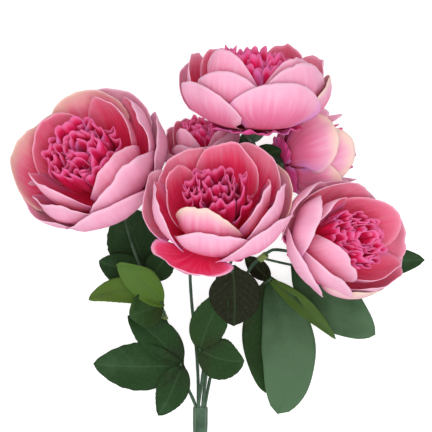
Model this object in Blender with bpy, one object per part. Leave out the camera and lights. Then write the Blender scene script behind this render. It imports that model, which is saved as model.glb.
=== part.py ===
"""An artificial peony spray: six fabric blooms and eight leaf sprays on wire stems moulded into one handle.

It lies on its back as it comes to rest on a table: +Z is up, away from the table, and +Y runs from the
cut end of the handle towards the blooms. Lengths are in metres and angles in degrees.

Each bloom is built as the real one is. A green calyx with a peg carries a stack of die-cut fabric
discs, and each disc's petals are heat-set into a bowl. Petals of one disc overlap like roof tiles.
"""

import math
from dataclasses import dataclass, field

import bmesh
import bpy
from mathutils import Matrix, Vector

# Fabric and fits
FABRIC_THICKNESS = 0.0007
LEAF_THICKNESS = 0.0006
CLEARANCE = 0.0003
DISC_GAP = 0.0016
DISC_PITCH = FABRIC_THICKNESS + DISC_GAP
TILE_LIFT = FABRIC_THICKNESS + CLEARANCE

# Bloom
PEG_RADIUS = 0.0022
HUB_RADIUS = 0.0070
CALYX_RADIUS = 0.0088
CALYX_NECK_RADIUS = 0.0027
CALYX_HEIGHT = 0.0085
CALYX_SIDES = 6
CALYX_SHOULDER = (0.72, 0.55)
PEG_HEAD = 0.0015
PETAL_GROWTH = (0.00, 0.42)
PETAL_SWING = (0.20, 1.00)
CREASE_GROWTH = (0.30, 0.75)
PETAL_WIDENING = (0.40, 0.65)
TIP_CURVE = 2.1
PETAL_REACHES = (1.00, 0.94, 1.03, 0.96, 1.05)

# Stems and handle
STEM_RADIUS = 0.00125
STEM_SIDES = 5
STEM_SEGMENTS = 8
STEM_LEAD = 0.010
STEM_RING_RADIUS = 0.0034
ROUTE_STEPS = 16
SOCKET_DEPTH = 0.014
HANDLE_RADIUS = 0.0052
HANDLE_END_RADIUS = 0.0045
HANDLE_LOBE = 0.0005
HANDLE_SIDES = 12
# Each section's share of the handle's length, its radius and how far its lobes stand out
HANDLE_SECTIONS = ((0.0, HANDLE_END_RADIUS, 0.0), (0.55, HANDLE_END_RADIUS, 0.2),
                   (0.86, HANDLE_RADIUS, 0.8), (1.0, HANDLE_RADIUS, 1.0))
HANDLE_TOP = Vector((-0.0117, -0.1431, 0.0160))
HANDLE_END = Vector((-0.0125, -0.2350, 0.0045))

# Leaves
COLLAR_LENGTH = 0.0070
COLLAR_WALL = 0.0010
COLLAR_SIDES = 5
PETIOLE_RADIUS = 0.0010
PETIOLE_LEAD = 0.0020
PETIOLE_END = 0.0020
PETIOLE_TAPER = 0.7
PETIOLE_SIDES = 4
LEAF_ROWS = 3
LEAF_BASE_SHARE = 0.10
LEAF_FOLD = 0.20
LEAF_ROOT = 0.0020
FOLDED_LEAF_WIDTH = 0.020

# Middle of the spray's underside, which is the model's origin
BOTTOM_MIDDLE = Vector((0.0033, -0.0535, 0.0))

SOLIDS = bpy.context.scene.collection


@dataclass
class Layer:
    """One die-cut fabric disc, in sizes of a bloom of size 1.

    A petal that overlaps its neighbours by a third is four steps of 24 degrees wide, and every disc is
    spun by whole steps. Its flat facets then lie over those of the next petal and the next disc.
    """

    name: str
    material: str
    petals: int
    radius: float
    height: float
    end_turn: float
    overlap: float = 1 / 3
    waist: float = 0.10
    tip_round: float = 0.24
    columns: int = 4
    rows: tuple = (0.34, 0.60, 1.00)
    crease: float = 0.0


LAYERS = (
    Layer("backing_petals", "petal_magenta", 4, 0.033, 0.0045, 85, overlap=-0.14, waist=0.12,
          columns=2, rows=(0.55, 1.00)),
    Layer("outer_guard_petals", "petal_pink", 5, 0.0555, 0.0335, 99, tip_round=0.32),
    Layer("inner_guard_petals", "petal_pink", 5, 0.050, 0.037, 107, tip_round=0.32),
    Layer("cup_petals", "petal_rose", 4, 0.041, 0.042, 107, overlap=1 / 15, tip_round=0.30),
    Layer("outer_ruffle_petals", "petal_magenta", 5, 0.024, 0.044, 96, overlap=-0.10, waist=0.10,
          tip_round=0.16, columns=2, crease=0.0026),
    Layer("inner_ruffle_petals", "petal_magenta", 3, 0.0122, 0.044, 92, overlap=-0.14, waist=0.14,
          tip_round=0.16, columns=2, rows=(0.60, 1.00), crease=0.0008),
)


@dataclass
class Bloom:
    """A flower head. base is the middle of the calyx's top face, and axis points out of the bowl.

    depth and oval stretch its bowl. steps turns each disc by that many steps of 24 degrees, and opened
    swings a petal outwards, in degrees.
    """

    name: str
    base: tuple
    axis: tuple
    size: float
    depth: float = 1.0
    oval: tuple = (1.0, 1.0)
    steps: tuple = (0, 0, 1, 2, 1, 0)
    opened: dict = field(default_factory=dict)
    route: tuple = ()
    socket_turn: float = 0.0


STEP_TURN = math.radians(24.0)

BLOOMS = (
    Bloom("left_bloom", (-0.0790, 0.0215, 0.0208), (-0.40, 0.53, 0.75), 1.08,
          route=((-0.0190, -0.1365, 0.0180), (-0.0277, -0.1095, 0.0200), (-0.0387, -0.0745, 0.0220),
                 (-0.0518, -0.0489, 0.0200), (-0.0640, -0.0190, 0.0120)),
          socket_turn=180),
    Bloom("front_bloom", (0.0030, -0.0135, 0.0920), (-0.06, 0.70, 0.71), 0.96,
          steps=(1, 1, 2, 3, 2, 1), opened={("outer_guard_petals", 3): 24},
          route=((-0.0100, -0.1200, 0.0240), (-0.0060, -0.0900, 0.0380), (0.0040, -0.0520, 0.0600)),
          socket_turn=120),
    Bloom("top_bloom", (0.0275, 0.0625, 0.0780), (0.03, 0.97, 0.22), 1.00,
          route=((-0.0070, -0.1150, 0.0210), (-0.0010, -0.0600, 0.0320), (0.0080, -0.0100, 0.0450),
                 (0.0240, 0.0300, 0.0660)),
          socket_turn=60),
    Bloom("right_bloom", (0.0725, -0.0237, 0.0610), (0.74, 0.16, 0.65), 0.87, oval=(1.28, 0.92),
          route=((-0.0040, -0.1200, 0.0160), (0.0058, -0.0832, 0.0220), (0.0234, -0.0416, 0.0320),
                 (0.0460, -0.0230, 0.0460)),
          socket_turn=0),
    Bloom("rear_right_bloom", (0.0480, 0.0372, 0.0455), (0.93, 0.27, -0.25), 0.68, depth=1.25,
          route=((-0.0070, -0.1150, 0.0120), (0.0020, -0.0700, 0.0120), (0.0140, -0.0250, 0.0200),
                 (0.0290, 0.0180, 0.0400)),
          socket_turn=300),
    Bloom("rear_left_bloom", (-0.0065, 0.0300, 0.0230), (-0.10, 0.90, 0.42), 0.56, depth=1.25,
          route=((-0.0140, -0.1100, 0.0140), (-0.0195, -0.0445, 0.0140), (-0.0150, -0.0060, 0.0120)),
          socket_turn=240),
)


@dataclass
class Leaflet:
    """A blade whose tip is given from its spray's joint. bow moves its middle, and its top faces up."""

    tip: tuple
    width: float
    bow: tuple = (0.0, 0.0, 0.0)


@dataclass
class LeafSpray:
    """Leaflets on a moulded petiole, whose collar sits round the middle of a segment of a bloom's stem.

    joint, where the leaflets meet, is given from the collar's centre.
    """

    name: str
    bloom: str
    segment: int
    joint: tuple
    leaflets: tuple


LEAF_SPRAYS = (
    LeafSpray("low_left_leaves", "left_bloom", 2, (0.0000, 0.0035, 0.0095), (
        Leaflet((-0.0395, 0.0365, -0.0020), 0.028, (0.0040, 0.0040, 0.0040)),
        Leaflet((-0.0655, 0.0000, -0.0090), 0.036, (0.0000, -0.0030, 0.0080)),
        Leaflet((-0.0170, -0.0380, -0.0050), 0.024, (0.0040, 0.0000, 0.0060)),
    )),
    LeafSpray("curled_left_leaves", "left_bloom", 4, (-0.0015, 0.0090, 0.0095), (
        Leaflet((-0.0330, 0.0295, 0.0125), 0.024, (0.0040, 0.0040, 0.0100)),
        Leaflet((-0.0235, -0.0085, 0.0085), 0.026, (0.0000, 0.0000, 0.0060)),
        Leaflet((-0.0540, 0.0035, 0.0025), 0.020, (-0.0040, 0.0180, 0.0040)),
    )),
    LeafSpray("high_left_leaves", "left_bloom", 5, (-0.0020, 0.0080, -0.0105), (
        Leaflet((-0.0190, 0.0520, -0.0040), 0.044, (0.0000, 0.0000, -0.0020)),
        Leaflet((-0.0380, 0.0140, 0.0020), 0.026, (0.0000, 0.0000, 0.0020)),
        Leaflet((0.0160, 0.0220, 0.0060), 0.022, (0.0000, 0.0000, 0.0020)),
    )),
    LeafSpray("middle_leaves", "front_bloom", 3, (-0.0040, 0.0050, 0.0120), (
        Leaflet((0.0190, 0.0430, 0.0230), 0.027, (-0.0040, 0.0000, 0.0040)),
        Leaflet((0.0330, -0.0085, -0.0030), 0.031, (0.0000, -0.0060, 0.0040)),
    )),
    LeafSpray("under_bloom_leaves", "front_bloom", 7, (0.0080, 0.0090, 0.0105), (
        Leaflet((0.0010, -0.0430, -0.0140), 0.038, (0.0020, 0.0000, 0.0040)),
    )),
    LeafSpray("low_right_leaves", "right_bloom", 5, (0.0255, 0.0125, 0.0020), (
        Leaflet((-0.0030, -0.0850, -0.0090), 0.036, (-0.0020, 0.0000, 0.0060)),
        Leaflet((0.0060, -0.1000, 0.0030), 0.040, (0.0220, 0.0000, 0.0080)),
        Leaflet((0.0490, -0.0440, 0.0070), 0.013, (0.0040, 0.0020, 0.0040)),
        Leaflet((-0.0180, 0.0170, -0.0090), 0.014, (0.0000, 0.0000, -0.0020)),
    )),
    LeafSpray("high_right_leaves", "right_bloom", 7, (0.0235, -0.0065, -0.0110), (
        Leaflet((0.0610, -0.0520, -0.0080), 0.038, (0.0000, -0.0080, 0.0040)),
        Leaflet((0.0980, 0.0040, -0.0100), 0.032, (0.0000, 0.0000, -0.0060)),
    )),
    LeafSpray("top_leaves", "top_bloom", 8, (0.0030, 0.0105, -0.0100), (
        Leaflet((-0.0080, 0.0160, 0.0000), 0.012),
        Leaflet((0.0210, 0.0040, 0.0040), 0.014),
    )),
)

COLOURS = {
    "petal_pink": (0.87, 0.45, 0.60),
    "petal_rose": (0.84, 0.32, 0.47),
    "petal_magenta": (0.76, 0.12, 0.42),
    "leaf_green": (0.06, 0.17, 0.06),
    "stem_green": (0.09, 0.19, 0.09),
}
FABRIC_ROUGHNESS = 0.85
PLASTIC_ROUGHNESS = 0.45


def clear_scene():
    for obj in list(bpy.data.objects):
        bpy.data.objects.remove(obj)


def make_material(name, colour):
    material = bpy.data.materials.new(name)
    material.use_nodes = True
    shader = material.node_tree.nodes["Principled BSDF"]
    shader.inputs["Base Color"].default_value = (*colour, 1.0)
    shader.inputs["Metallic"].default_value = 0.0
    shader.inputs["Roughness"].default_value = (
        PLASTIC_ROUGHNESS if name == "stem_green" else FABRIC_ROUGHNESS
    )
    return material


def make_object(name, mesh_data, material, parent=None, helper=False):
    """An object from a bmesh, smooth shaded. A helper is kept for a Boolean and isn't part of the model."""
    bmesh.ops.recalc_face_normals(mesh_data, faces=mesh_data.faces)
    mesh = bpy.data.meshes.new(name)
    mesh_data.to_mesh(mesh)
    mesh_data.free()
    mesh.shade_smooth()
    mesh.materials.append(material)
    obj = bpy.data.objects.new(name, mesh)
    SOLIDS.objects.link(obj)
    obj.parent = parent
    if helper:
        obj.hide_render = True
        obj.display_type = "WIRE"
    return obj


def thicken(obj, thickness):
    shell = obj.modifiers.new("Cloth thickness", "SOLIDIFY")
    shell.thickness = thickness
    shell.offset = 0.0
    shell.use_even_offset = True


def smoothstep(low, high, value):
    share = min(max((value - low) / (high - low), 0.0), 1.0)
    return share * share * (3.0 - 2.0 * share)


def polar(radius, turn, height):
    return Vector((radius * math.cos(turn), radius * math.sin(turn), height))


def bloom_matrix(bloom):
    """Bloom frame: Z along the axis, X as near as it can be to the spray's right-hand side."""
    z_axis = Vector(bloom.axis).normalized()
    x_axis = (Vector((1.0, 0.0, 0.0)) - z_axis * z_axis.x).normalized()
    y_axis = z_axis.cross(x_axis)
    turn = Matrix((x_axis, y_axis, z_axis)).transposed()
    return Matrix.Translation(bloom.base) @ turn.to_4x4() @ Matrix.Diagonal((*bloom.oval, 1.0, 1.0))


def bowl_section(bloom, layer, rise, along, lift):
    """(radius, height) so far along the disc's bowl from its hub, lifted outwards from it.

    The section is straight from row to row, so a point anywhere on it lies on the flat facets.
    """
    reach = layer.radius * bloom.size - HUB_RADIUS
    depth = layer.height * bloom.size * bloom.depth
    stations = (0.0, *layer.rows)
    index = max(sum(along >= station for station in stations[:-1]) - 1, 0)
    ends = []
    for station in stations[index:index + 2]:
        turn = math.radians(layer.end_turn) * station
        normal = Vector((depth * math.sin(turn), -reach * math.cos(turn))).normalized()
        point = Vector((HUB_RADIUS + reach * math.sin(turn), rise + depth * (1.0 - math.cos(turn))))
        ends.append(point + normal * lift)
    share = (along - stations[index]) / (stations[index + 1] - stations[index])
    return ends[0] + (ends[1] - ends[0]) * share


def edge_lifts(bloom, layer, index):
    """Whether the petal's two edges lie outside (1) or inside (-1) of the neighbours that they overlap."""
    after = (index + 1) % layer.petals
    first = 1 if (layer.name, index) in bloom.opened else -1
    last = -1 if (layer.name, after) in bloom.opened else 1
    return first, last


def petal_point(bloom, layer, index, rise, middle, across, row):
    """A point of a petal's row: across runs from -1 to 1. Only the last row is cut round, to make the tip."""
    along = layer.rows[row]
    waist = layer.waist * math.sin(math.pi * min(along / 0.5, 1.0))
    widening = layer.overlap * smoothstep(*PETAL_WIDENING, along)
    half_width = math.pi / layer.petals * (1.0 - waist + widening)
    growth = smoothstep(*PETAL_GROWTH, along)
    side = edge_lifts(bloom, layer, index)[across > 0]
    lift = growth * TILE_LIFT * side * abs(across) if layer.overlap > 0 else 0.0
    lift -= smoothstep(*CREASE_GROWTH, along) * layer.crease * bloom.size * (1.0 - abs(across))
    if row == len(layer.rows) - 1:
        along *= (1.0 - layer.tip_round * abs(across) ** TIP_CURVE) * PETAL_REACHES[index]
    radius, height = bowl_section(bloom, layer, rise, along, lift)
    swing = math.radians(bloom.opened.get((layer.name, index), 0.0)) * smoothstep(*PETAL_SWING, along)
    out, up = radius - HUB_RADIUS, height - rise
    radius = HUB_RADIUS + out * math.cos(swing) + up * math.sin(swing)
    height = rise + up * math.cos(swing) - out * math.sin(swing)
    return polar(radius, middle + across * half_width, height)


def make_petal_disc(bloom, layer, order, material, parent):
    """One fabric disc: a ring round the peg that carries all its petals."""
    rise = FABRIC_THICKNESS / 2 + CLEARANCE + order * DISC_PITCH
    pitch = 2.0 * math.pi / layer.petals
    spin = bloom.steps[order] * STEP_TURN
    hole_radius = (PEG_RADIUS + CLEARANCE) / math.cos(math.pi / layer.petals)
    disc = bmesh.new()
    corners = [spin + (index - 0.5) * pitch for index in range(layer.petals)]
    hole = [disc.verts.new(polar(hole_radius, corner, rise)) for corner in corners]
    ring = [disc.verts.new(polar(HUB_RADIUS, corner, rise)) for corner in corners]
    for index in range(layer.petals):
        after = (index + 1) % layer.petals
        disc.faces.new((hole[index], ring[index], ring[after], hole[after]))
        rows = [
            [
                disc.verts.new(petal_point(
                    bloom, layer, index, rise, spin + index * pitch, 2.0 * step / layer.columns - 1.0, row))
                for step in range(layer.columns + 1)
            ]
            for row in range(len(layer.rows))
        ]
        middle = layer.columns // 2
        disc.faces.new((ring[index], ring[after], rows[0][middle]))
        for step in range(layer.columns):
            root = ring[index] if step < middle else ring[after]
            disc.faces.new((root, rows[0][step + 1], rows[0][step]))
            for below, above in zip(rows, rows[1:]):
                # Each diagonal leans towards the petal's middle: the other one would cut into the next petal.
                if step < middle:
                    disc.faces.new((below[step], below[step + 1], above[step + 1]))
                    disc.faces.new((below[step], above[step + 1], above[step]))
                else:
                    disc.faces.new((below[step], below[step + 1], above[step]))
                    disc.faces.new((below[step + 1], above[step + 1], above[step]))
    obj = make_object(f"{bloom.name}_{layer.name}", disc, material, parent)
    thicken(obj, FABRIC_THICKNESS)


def make_calyx(bloom, material, parent):
    """The moulded green cup below the petals, turned in one piece with the peg that they sit on."""
    stack = len(LAYERS) * DISC_PITCH
    profile = (
        (0.0, -CALYX_HEIGHT),
        (CALYX_NECK_RADIUS, -CALYX_HEIGHT),
        (CALYX_RADIUS * CALYX_SHOULDER[0], -CALYX_HEIGHT * CALYX_SHOULDER[1]),
        (CALYX_RADIUS, 0.0),
        (PEG_RADIUS, 0.0),
        (PEG_RADIUS, stack + PEG_HEAD),
        (0.0, stack + PEG_HEAD),
    )
    cup = bmesh.new()
    section = [cup.verts.new((radius, 0.0, height)) for radius, height in profile]
    edges = [cup.edges.new(pair) for pair in zip(section, section[1:])]
    bmesh.ops.spin(cup, geom=section + edges, cent=(0, 0, 0), axis=(0, 0, 1),
                   angle=2.0 * math.pi, steps=CALYX_SIDES, use_merge=True)
    bmesh.ops.remove_doubles(cup, verts=cup.verts, dist=1e-6)
    obj = make_object(f"{bloom.name}_calyx", cup, material, parent)
    obj.data.set_sharp_from_angle(angle=math.radians(50))


def smooth_route(points, count):
    """count + 1 points along a smooth curve through the given ones, evenly spaced by length."""
    padded = [points[0] * 2 - points[1], *points, points[-1] * 2 - points[-2]]
    fine = []
    for before, start, end, after in zip(padded, padded[1:], padded[2:], padded[3:]):
        for step in range(ROUTE_STEPS):
            share = step / ROUTE_STEPS
            fine.append(0.5 * (
                2 * start + (end - before) * share
                + (2 * before - 5 * start + 4 * end - after) * share ** 2
                + (3 * start - before - 3 * end + after) * share ** 3))
    fine.append(points[-1])
    lengths = [0.0]
    for first, second in zip(fine, fine[1:]):
        lengths.append(lengths[-1] + (second - first).length)
    route, index = [], 0
    for step in range(count + 1):
        wanted = lengths[-1] * step / count
        while index < len(fine) - 2 and lengths[index + 1] < wanted:
            index += 1
        span = lengths[index + 1] - lengths[index]
        route.append(fine[index].lerp(fine[index + 1], (wanted - lengths[index]) / span))
    return route


def make_tube(points, radii, sides):
    """A closed tube through the points, whose frame is carried along so that it doesn't twist."""
    tube = bmesh.new()
    across = (points[1] - points[0]).orthogonal().normalized()
    rings = []
    for index, point in enumerate(points):
        ahead = points[min(index + 1, len(points) - 1)]
        behind = points[max(index - 1, 0)]
        along = (ahead - behind).normalized()
        across = (across - along * across.dot(along)).normalized()
        other = along.cross(across)
        rings.append([
            tube.verts.new(point + radii[index] * (
                across * math.cos(2 * math.pi * side / sides)
                + other * math.sin(2 * math.pi * side / sides)))
            for side in range(sides)
        ])
    for lower, upper in zip(rings, rings[1:]):
        for side in range(sides):
            after = (side + 1) % sides
            tube.faces.new((lower[side], lower[after], upper[after], upper[side]))
    tube.faces.new(list(reversed(rings[0])))
    tube.faces.new(rings[-1])
    return tube


def handle_frame():
    """The handle's direction and the two directions across it, the first one level."""
    along = (HANDLE_TOP - HANDLE_END).normalized()
    right = along.cross(Vector((0.0, 0.0, 1.0))).normalized()
    return along, right, right.cross(along)


def socket_centre(bloom):
    along, right, up = handle_frame()
    turn = math.radians(bloom.socket_turn)
    return HANDLE_TOP + STEM_RING_RADIUS * (right * math.cos(turn) + up * math.sin(turn))


def make_handle(material, frame):
    """The moulded handle, with a lobe over each stem at its top, narrowing to the cut end."""
    along, right, up = handle_frame()
    body = bmesh.new()
    rings = []
    for share, radius, lobing in HANDLE_SECTIONS:
        centre = HANDLE_END.lerp(HANDLE_TOP, share)
        ring = []
        for side in range(HANDLE_SIDES):
            turn = 2.0 * math.pi * side / HANDLE_SIDES
            reach = radius + HANDLE_LOBE * lobing * math.cos(len(BLOOMS) * turn)
            ring.append(body.verts.new(centre + reach * (right * math.cos(turn) + up * math.sin(turn))))
        rings.append(ring)
    for lower, upper in zip(rings, rings[1:]):
        for side in range(HANDLE_SIDES):
            after = (side + 1) % HANDLE_SIDES
            body.faces.new((lower[side], lower[after], upper[after], upper[side]))
    body.faces.new(list(reversed(rings[0])))
    body.faces.new(rings[-1])
    handle = make_object("stem_handle", body, material, frame)
    handle.data.set_sharp_from_angle(angle=math.radians(50))
    for bloom in BLOOMS:
        centre = socket_centre(bloom)
        bore = make_tube([centre - along * SOCKET_DEPTH, centre + along * SOCKET_DEPTH],
                         [STEM_RADIUS + CLEARANCE] * 2, STEM_SIDES)
        cutter = make_object(f"{bloom.name}_socket_cutter", bore, material, frame, helper=True)
        cut = handle.modifiers.new(f"{bloom.name} socket", "BOOLEAN")
        cut.operation = "DIFFERENCE"
        cut.object = cutter


def stem_route(bloom):
    """The stem's centreline: out of its socket, through the bloom's own points, straight into the calyx."""
    along = handle_frame()[0]
    axis = Vector(bloom.axis).normalized()
    mouth = socket_centre(bloom)
    top = Vector(bloom.base) - axis * (CALYX_HEIGHT + CLEARANCE)
    bottom = mouth - along * (SOCKET_DEPTH - CLEARANCE)
    chosen = [mouth, *(Vector(point) for point in bloom.route), top - axis * STEM_LEAD]
    return [bottom, *smooth_route(chosen, STEM_SEGMENTS), top]


def make_stem(bloom, material, frame):
    route = stem_route(bloom)
    tube = make_tube(route, [STEM_RADIUS] * len(route), STEM_SIDES)
    make_object(f"{bloom.name}_stem", tube, material, frame)


def make_leaflet(joint, leaflet):
    """A blade as one sheet that narrows to its tip. A wide one is folded along its midrib."""
    tip = joint + Vector(leaflet.tip)
    middle = joint.lerp(tip, 0.5) + Vector(leaflet.bow)
    sides = (-1, 0, 1) if leaflet.width >= FOLDED_LEAF_WIDTH else (-1, 1)
    blade = bmesh.new()
    rows = []
    for row in range(LEAF_ROWS):
        share = row / LEAF_ROWS
        centre = joint * (1 - share) ** 2 + middle * 2 * share * (1 - share) + tip * share ** 2
        ahead = ((middle - joint) * (1 - share) + (tip - middle) * share).normalized()
        aside = ahead.cross(Vector((0.0, 0.0, 1.0))).normalized()
        half = 0.5 * leaflet.width * max(LEAF_BASE_SHARE, math.sin(math.pi * share ** 0.85) ** 0.8)
        sink = aside.cross(ahead).normalized() * half * LEAF_FOLD
        if row == 0:
            centre = centre - ahead * LEAF_ROOT
        rows.append([blade.verts.new(centre + aside * half * side - sink * (1 - abs(side))) for side in sides])
    for below, above in zip(rows, rows[1:]):
        for index in range(len(sides) - 1):
            blade.faces.new((below[index], below[index + 1], above[index + 1], above[index]))
    end = blade.verts.new(tip)
    for index in range(len(sides) - 1):
        blade.faces.new((rows[-1][index], rows[-1][index + 1], end))
    return blade


def make_collar(centre, along):
    """A short open sleeve round a stem."""
    inner = (STEM_RADIUS + CLEARANCE) / math.cos(math.pi / COLLAR_SIDES)
    outer = inner + COLLAR_WALL
    across = along.orthogonal().normalized()
    other = along.cross(across)
    sleeve = bmesh.new()
    rings = []
    for radius, end in ((inner, -0.5), (outer, -0.5), (outer, 0.5), (inner, 0.5)):
        rings.append([
            sleeve.verts.new(centre + along * COLLAR_LENGTH * end + radius * (
                across * math.cos(2 * math.pi * side / COLLAR_SIDES)
                + other * math.sin(2 * math.pi * side / COLLAR_SIDES)))
            for side in range(COLLAR_SIDES)
        ])
    for index, ring in enumerate(rings):
        after = rings[(index + 1) % len(rings)]
        for side in range(COLLAR_SIDES):
            beside = (side + 1) % COLLAR_SIDES
            sleeve.faces.new((ring[side], ring[beside], after[beside], after[side]))
    return sleeve, inner


def make_leaf_spray(spray, material, frame):
    """A collar on its stem, joined with its petiole and leaflets into one piece."""
    bloom = next(bloom for bloom in BLOOMS if bloom.name == spray.bloom)
    route = stem_route(bloom)
    start, end = route[spray.segment], route[spray.segment + 1]
    centre, along = (start + end) / 2, (end - start).normalized()
    spray_joint = Vector(spray.joint)
    joint = centre + spray_joint
    sleeve, inner = make_collar(centre, along)
    obj = make_object(spray.name, sleeve, material, frame)
    outward = (spray_joint - along * spray_joint.dot(along)).normalized()
    root = centre + outward * (inner + CLEARANCE / 2)
    knee = root + outward * PETIOLE_LEAD
    end = joint + (joint - knee).normalized() * PETIOLE_END
    petiole = make_tube([root, knee, joint, end], [*[PETIOLE_RADIUS] * 3, PETIOLE_RADIUS * PETIOLE_TAPER],
                        PETIOLE_SIDES)
    pieces = [make_object(f"{spray.name}_petiole", petiole, material, frame, helper=True)]
    for number, leaflet in enumerate(spray.leaflets, 1):
        sheet = make_leaflet(joint, leaflet)
        blade = make_object(f"{spray.name}_leaflet_{number}", sheet, material, frame, helper=True)
        thicken(blade, LEAF_THICKNESS)
        pieces.append(blade)
    for piece in pieces:
        join = obj.modifiers.new(f"Join {piece.name}", "BOOLEAN")
        join.operation = "UNION"
        join.object = piece


def make_bloom(bloom, materials, frame):
    head = bpy.data.objects.new(f"{bloom.name}_head", None)
    SOLIDS.objects.link(head)
    head.parent = frame
    head.matrix_local = bloom_matrix(bloom)
    make_calyx(bloom, materials["stem_green"], head)
    for order, layer in enumerate(LAYERS):
        make_petal_disc(bloom, layer, order, materials[layer.material], head)
    make_stem(bloom, materials["stem_green"], frame)


def main():
    clear_scene()
    materials = {name: make_material(name, colour) for name, colour in COLOURS.items()}
    frame = bpy.data.objects.new("spray_frame", None)
    SOLIDS.objects.link(frame)
    frame.location = -BOTTOM_MIDDLE
    make_handle(materials["stem_green"], frame)
    for bloom in BLOOMS:
        make_bloom(bloom, materials, frame)
    for spray in LEAF_SPRAYS:
        make_leaf_spray(spray, materials["leaf_green"], frame)


main()
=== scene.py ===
"""Looks of the artificial peony spray: fine heat-set petals, ruffles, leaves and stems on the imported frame.

Lengths are in metres. The shapes repeat part.py's named values, so each piece keeps its solid's form.
"""

import math
from dataclasses import dataclass, field

import bpy
import numpy as np
from mathutils import Matrix, Vector


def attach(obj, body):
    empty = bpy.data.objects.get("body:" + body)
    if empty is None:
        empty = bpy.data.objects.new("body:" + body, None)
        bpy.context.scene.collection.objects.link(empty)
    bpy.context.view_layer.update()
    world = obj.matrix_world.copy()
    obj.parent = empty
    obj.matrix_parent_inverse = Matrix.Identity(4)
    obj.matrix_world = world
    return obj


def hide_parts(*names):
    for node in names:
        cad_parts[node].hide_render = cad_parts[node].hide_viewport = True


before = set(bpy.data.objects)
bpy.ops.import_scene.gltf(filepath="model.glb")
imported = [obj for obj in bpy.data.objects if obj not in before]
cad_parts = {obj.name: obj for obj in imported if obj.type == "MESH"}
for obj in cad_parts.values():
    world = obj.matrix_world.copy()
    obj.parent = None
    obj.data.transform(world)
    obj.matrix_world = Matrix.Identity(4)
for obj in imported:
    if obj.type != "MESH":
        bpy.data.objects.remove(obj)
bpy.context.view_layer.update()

# Values of part.py
FABRIC_THICKNESS = 0.0007
CLEARANCE = 0.0003
DISC_GAP = 0.0016
DISC_PITCH = FABRIC_THICKNESS + DISC_GAP
TILE_LIFT = FABRIC_THICKNESS + CLEARANCE
PEG_RADIUS = 0.0022
HUB_RADIUS = 0.0070
CALYX_RADIUS = 0.0088
CALYX_NECK_RADIUS = 0.0027
CALYX_HEIGHT = 0.0085
PEG_HEAD = 0.0015
PETAL_GROWTH = (0.00, 0.42)
PETAL_SWING = (0.20, 1.00)
PETAL_WIDENING = (0.40, 0.65)
PETAL_REACHES = (1.00, 0.94, 1.03, 0.96, 1.05)
STEM_RADIUS = 0.00125
STEM_SEGMENTS = 8
STEM_LEAD = 0.010
STEM_RING_RADIUS = 0.0034
SOCKET_DEPTH = 0.014
HANDLE_RADIUS = 0.0052
HANDLE_END_RADIUS = 0.0045
HANDLE_LOBE = 0.0005
HANDLE_TOP = Vector((-0.0117, -0.1431, 0.0160))
HANDLE_END = Vector((-0.0125, -0.2350, 0.0045))
COLLAR_LENGTH = 0.0070
COLLAR_WALL = 0.0010
COLLAR_SIDES = 5
PETIOLE_RADIUS = 0.0010
PETIOLE_LEAD = 0.0020
LEAF_BASE_SHARE = 0.10
LEAF_FOLD = 0.20
LEAF_ROOT = 0.0020
BOTTOM_MIDDLE = Vector((0.0033, -0.0535, 0.0))
STEP_TURN = math.radians(24.0)

# Fine surface
CLOTH = 0.00045
LEAF_CLOTH = 0.00050
PETAL_THREAD = 0.00055
LEAF_THREAD = 0.00050
TABLE = 0.0005
PRESS = 0.0006
WELD = 2e-6
SEEDS = {"disc": 1000, "petal": 5000, "ruffle": 7000, "stem": 300, "leaf": 900}

# Petals: shape of the tip, raggedness of the edge, and how far each kind curls in
FINE_TIP_ROUND = {"outer_guard": 0.46, "guard": 0.46, "cup": 0.42, "sepal": 0.24}
TIP_POWER = 2.3
PINKING = 0.012
SEPAL_PINKING = 0.06
INWARD_CURL = {"outer_guard": 0.0004, "guard": 0.0012, "cup": 0.0040, "sepal": 0.0}
OPEN_CURL = 0.0065
OPEN_COLOUR_SHARE = 0.42
OPEN_PALE_RIM = 0.5
CLOTH_SHARE = 0.8
HOLE_MARK = -0.1

# Relief of a petal in a bloom of size 1
STAND_OVER = 0.0017
STAND_UNDER = 0.0012
WAVE = 0.0011
BELLY = 0.0012
FLARE = 0.0022
RIM_CURL = 0.0012
CREASE = 0.00022
LONG_FOLD = 0.0011
RIM_FOLD = 0.0007
CRUMPLE = 0.0022

# Ruffles, whose lobes are shorter, sway more and lean less in a loose one
RUFFLE_COLUMNS = 53
RUFFLE_ROWS = 15
RING_STEP = 0.0006
RING_TURN = 0.37
LEAST_REACH = 0.0012
LEAST_RADIUS = 0.0008
SHORTEST_LOBE = 0.87
LOOSE_SHORTENING = 0.15
SWAY = 0.0018
LOOSE_SWAY = 0.0016
LOBE_FLARE = 0.0010
LOOP_LEAN = 0.62
LOOSE_LEAN_LOSS = 0.75

# Calyx, stems, stalks and handle
CALYX_STEPS = 12
CALYX_SIDES = 48
CALYX_RIBS = 6
CALYX_RIB_DEPTH = 0.035
POINT_RADIUS = 0.0001
ROUTE_STEPS = 16
STEM_STEPS = 12
STEM_STRAIGHTNESS = 0.35
STEM_FIT = 0.97
STEM_UNEVENNESS = 0.03
STEM_SIDES = 16
STALK_STEPS = 20
STALK_SIDES = 12
STALK_TAPER = 0.3
STALK_TAPER_STEPS = 4
STALK_RISE = 0.0006
STALK_OVERRUN = 0.002
COLLAR_FINE_SIDES = 20
HANDLE_SIDES = 72
HANDLE_LEVELS = 40
HANDLE_RIM = 0.985

# Leaves. An outline is how blunt its ends are and how near the root it is widest
LEAF_ROWS = 26
LEAF_COLUMNS = 14
BROAD_LEAF = 0.040
YELLOW_LEAF = 0.8
BLUNT_OUTLINE = (0.50, 1.10)
POINTED_OUTLINE = (0.66, 0.88)
LEAF_POINT = 0.00005
SERRATION = 0.02
SERRATION_PITCH = 0.0035
VEIN_RELIEF = 0.00012
VEIN_PITCH = 0.0055
VEIN_SLANT = 0.9

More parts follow.
